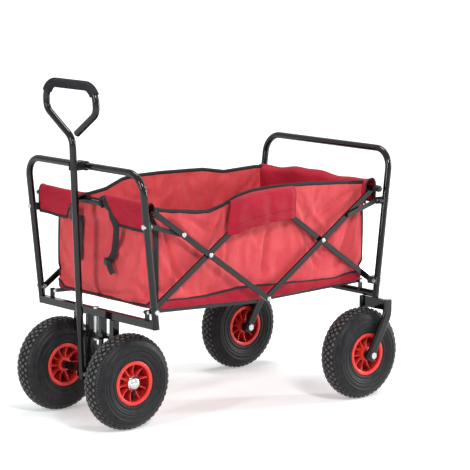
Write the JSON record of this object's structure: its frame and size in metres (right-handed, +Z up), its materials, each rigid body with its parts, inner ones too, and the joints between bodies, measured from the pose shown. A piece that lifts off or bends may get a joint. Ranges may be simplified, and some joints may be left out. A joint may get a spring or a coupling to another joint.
{
  "type": "folding beach cart",
  "caption": "Folding beach cart with a fabric basket on scissor bars, hooped end frames, big pneumatic tyres and a steering pull handle.",
  "frame": {"origin": "on the ground under the cart's middle, midway between the axles, at the bottom centre of its box", "axes": "+X forward to the pull handle, +Y to the cart's left, +Z up"},
  "size_m": [1.004, 0.652, 0.9261],
  "materials": {
    "black_frame": "gloss black powder coat",
    "zinc": "zinc plated",
    "cap_chrome": "bright plated",
    "red_rim": "gloss red",
    "tyre_rubber": "matt black rubber",
    "red_fabric": "coated polyester weave",
    "sleeve_fabric": "darker red polyester weave",
    "foam": "foam grip",
    "black_plastic": "moulded"
  },
  "bodies": {
    "front_frame": {"front_hoop": "black_frame", "front_crossbar": "black_frame", "steering_hanger": "black_frame", "kingpin": "zinc", "front_frame_bolts": "zinc", "front_brackets": "black_frame", "handle_clip": "black_plastic"},
    "steering": {"steering_yoke": "black_frame", "front_axle_tube": "black_frame", "front_axle_rod": "zinc", "handle_clevis": "black_frame", "handle_bolt": "zinc"},
    "handle": {"handle_tube": "black_frame", "handle_grip": "foam", "handle_plug": "black_plastic"},
    "front_left_wheel": {"front_left_tyre": "tyre_rubber", "front_left_rim": "red_rim", "front_left_bearings": "zinc", "front_left_cap": "cap_chrome"},
    "front_right_wheel": {"front_right_tyre": "tyre_rubber", "front_right_rim": "red_rim", "front_right_bearings": "zinc", "front_right_cap": "cap_chrome"},
    "front_leg_bars": {"front_leg_bar_left": "black_frame", "front_leg_bar_right": "black_frame"},
    "rear_leg_bars": {"rear_leg_bar_left": "black_frame", "rear_leg_bar_right": "black_frame", "top_joint_rivets": "zinc"},
    "front_rod_bars": {"front_rod_bar_left": "black_frame", "front_rod_bar_right": "black_frame", "front_bar_rivets": "zinc"},
    "rear_rod_bars": {"rear_rod_bar_left": "black_frame", "rear_rod_bar_right": "black_frame", "rear_bar_rivets": "zinc"},
    "basket": {"front_top_rod": "black_frame", "side_panel_left": "red_fabric", "side_panel_right": "red_fabric", "floor_panel": "red_fabric", "front_panel": "red_fabric", "sleeve_left": "sleeve_fabric", "sleeve_right": "sleeve_fabric"},
    "rear_rod": {"rear_top_rod": "black_frame", "rear_panel": "red_fabric"},
    "front_tie_links": {"front_ties": "black_frame"},
    "rear_tie_links": {"rear_ties": "black_frame"},
    "front_floor_rails": {"front_rails": "black_frame"},
    "rear_floor_rails": {"rear_rails": "black_frame"},
    "rear_frame": {"rear_hoop": "black_frame", "rear_crossbar": "black_frame", "rear_fork_left": "black_frame", "rear_fork_right": "black_frame", "rear_brackets": "black_frame", "rear_axle_bolts": "zinc", "rear_frame_bolts": "zinc"},
    "rear_left_wheel": {"rear_left_tyre": "tyre_rubber", "rear_left_rim": "red_rim", "rear_left_bearings": "zinc"},
    "rear_right_wheel": {"rear_right_tyre": "tyre_rubber", "rear_right_rim": "red_rim", "rear_right_bearings": "zinc"}
  },
  "joints": [
    {"name": "fold", "type": "hinge", "parent": "front_frame", "child": "front_leg_bars", "pos_m": [0.35844, 0, 0.33], "axis": [0, 1, 0], "range_deg": [0, 41.7], "deforming": ["side_panel_left", "side_panel_right", "floor_panel", "front_panel", "rear_panel", "sleeve_left", "sleeve_right"]},
    {"name": "top_joint", "type": "hinge", "parent": "front_leg_bars", "child": "rear_leg_bars", "pos_m": [-0.04032, 0, 0.602], "axis": [0, 1, 0], "range_deg": [-83.4, 0]},
    {"name": "rear_leg_hinge", "type": "hinge", "parent": "rear_leg_bars", "child": "rear_frame", "pos_m": [-0.43907, 0, 0.33], "axis": [0, 1, 0], "range_deg": [0, 41.7]},
    {"name": "front_cross_joint", "type": "hinge", "parent": "front_leg_bars", "child": "front_rod_bars", "pos_m": [0.16639, 0, 0.461], "axis": [0, 1, 0], "range_deg": [-83.4, 0]},
    {"name": "rear_cross_joint", "type": "hinge", "parent": "rear_leg_bars", "child": "rear_rod_bars", "pos_m": [-0.24702, 0, 0.461], "axis": [0, 1, 0], "range_deg": [0, 83.4]},
    {"name": "front_rod_joint", "type": "hinge", "parent": "front_rod_bars", "child": "basket", "pos_m": [0.35844, 0, 0.592], "axis": [0, 1, 0], "range_deg": [0, 41.7]},
    {"name": "rear_rod_joint", "type": "hinge", "parent": "rear_rod_bars", "child": "rear_rod", "pos_m": [-0.43907, 0, 0.592], "axis": [0, 1, 0], "range_deg": [-41.7, 0]},
    {"name": "front_tie_hinge", "type": "hinge", "parent": "front_frame", "child": "front_tie_links", "pos_m": [0.368, 0, 0.55677], "axis": [0, 1, 0], "range_deg": [0, 86.83]},
    {"name": "rear_tie_hinge", "type": "hinge", "parent": "rear_frame", "child": "rear_tie_links", "pos_m": [-0.44863, 0, 0.55677], "axis": [0, 1, 0], "range_deg": [-86.83, 0]},
    {"name": "front_rail_hinge", "type": "hinge", "parent": "front_frame", "child": "front_floor_rails", "pos_m": [0.34994, 0, 0.322], "axis": [0, 1, 0], "range_deg": [0, 75.96]},
    {"name": "rear_rail_hinge", "type": "hinge", "parent": "rear_frame", "child": "rear_floor_rails", "pos_m": [-0.43057, 0, 0.322], "axis": [0, 1, 0], "range_deg": [-75.96, 0]},
    {"name": "steering", "type": "hinge", "parent": "front_frame", "child": "steering", "pos_m": [0.358, 0, 0.23], "axis": [0, 0, 1], "range_deg": [-30, 30], "deforming": ["handle_clip"]},
    {"name": "handle_hinge", "type": "hinge", "parent": "steering", "child": "handle", "pos_m": [0.406, 0, 0.13], "axis": [0, 1, 0], "range_deg": [0, 80], "deforming": ["handle_clip"]},
    {"name": "front_left_spin", "type": "hinge", "parent": "steering", "child": "front_left_wheel", "pos_m": [0.372, 0.153, 0.13], "axis": [0, 1, 0], "continuous": true},
    {"name": "front_right_spin", "type": "hinge", "parent": "steering", "child": "front_right_wheel", "pos_m": [0.372, -0.153, 0.13], "axis": [0, 1, 0], "continuous": true},
    {"name": "rear_left_spin", "type": "hinge", "parent": "rear_frame", "child": "rear_left_wheel", "pos_m": [-0.372, 0.264, 0.13], "axis": [0, 1, 0], "continuous": true},
    {"name": "rear_right_spin", "type": "hinge", "parent": "rear_frame", "child": "rear_right_wheel", "pos_m": [-0.372, -0.264, 0.13], "axis": [0, 1, 0], "continuous": true}
  ],
  "couplings": [
    {"joint": "top_joint", "follows": "fold", "ratio": -2},
    {"joint": "rear_leg_hinge", "follows": "fold", "ratio": 1},
    {"joint": "front_cross_joint", "follows": "fold", "ratio": -2},
    {"joint": "rear_cross_joint", "follows": "fold", "ratio": 2},
    {"joint": "front_rod_joint", "follows": "fold", "ratio": 1},
    {"joint": "rear_rod_joint", "follows": "fold", "ratio": -1},
    {"joint": "front_tie_hinge", "follows": "fold", "ratio": 2.0823},
    {"joint": "rear_tie_hinge", "follows": "fold", "ratio": -2.0823},
    {"joint": "front_rail_hinge", "follows": "fold", "ratio": 1.8215},
    {"joint": "rear_rail_hinge", "follows": "fold", "ratio": -1.8215}
  ]
}
